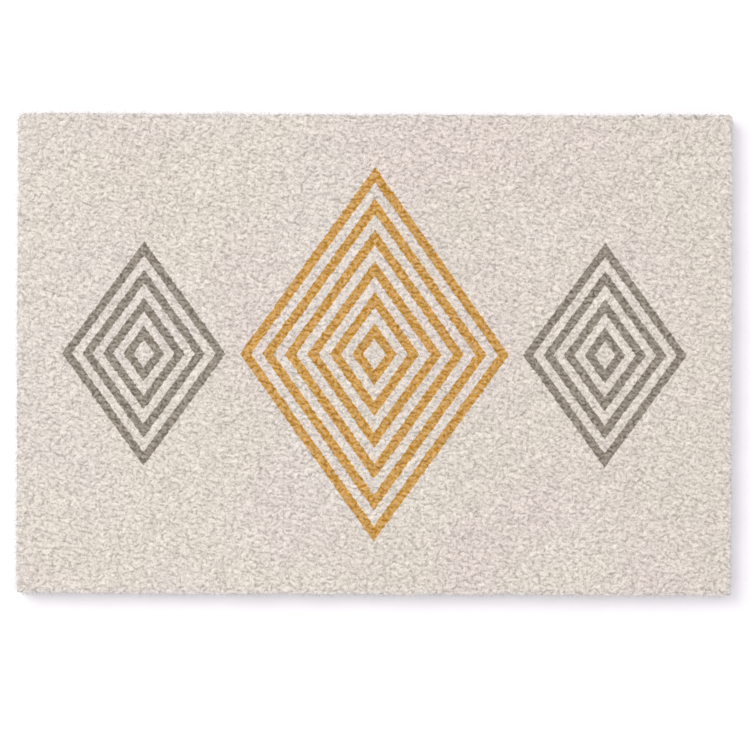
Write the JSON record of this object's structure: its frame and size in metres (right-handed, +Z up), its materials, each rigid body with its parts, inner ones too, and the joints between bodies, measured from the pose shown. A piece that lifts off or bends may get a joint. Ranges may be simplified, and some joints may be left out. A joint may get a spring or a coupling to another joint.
{
  "type": "doormat",
  "caption": "Flat rectangular entrance mat of short dense curled pile, cut edges, lying on the floor.",
  "frame": {"origin": "on the floor, under the middle of the mat", "axes": "+X along the long side, +Y towards the back edge, +Z up out of the pile"},
  "size_m": [0.6108, 0.4106, 0.0153],
  "materials": {
    "pile": "matt, short curled pile in cream with a printed design in mustard and warm grey"
  },
  "bodies": {
    "root": {"pile_mat": "pile"}
  },
  "joints": []
}
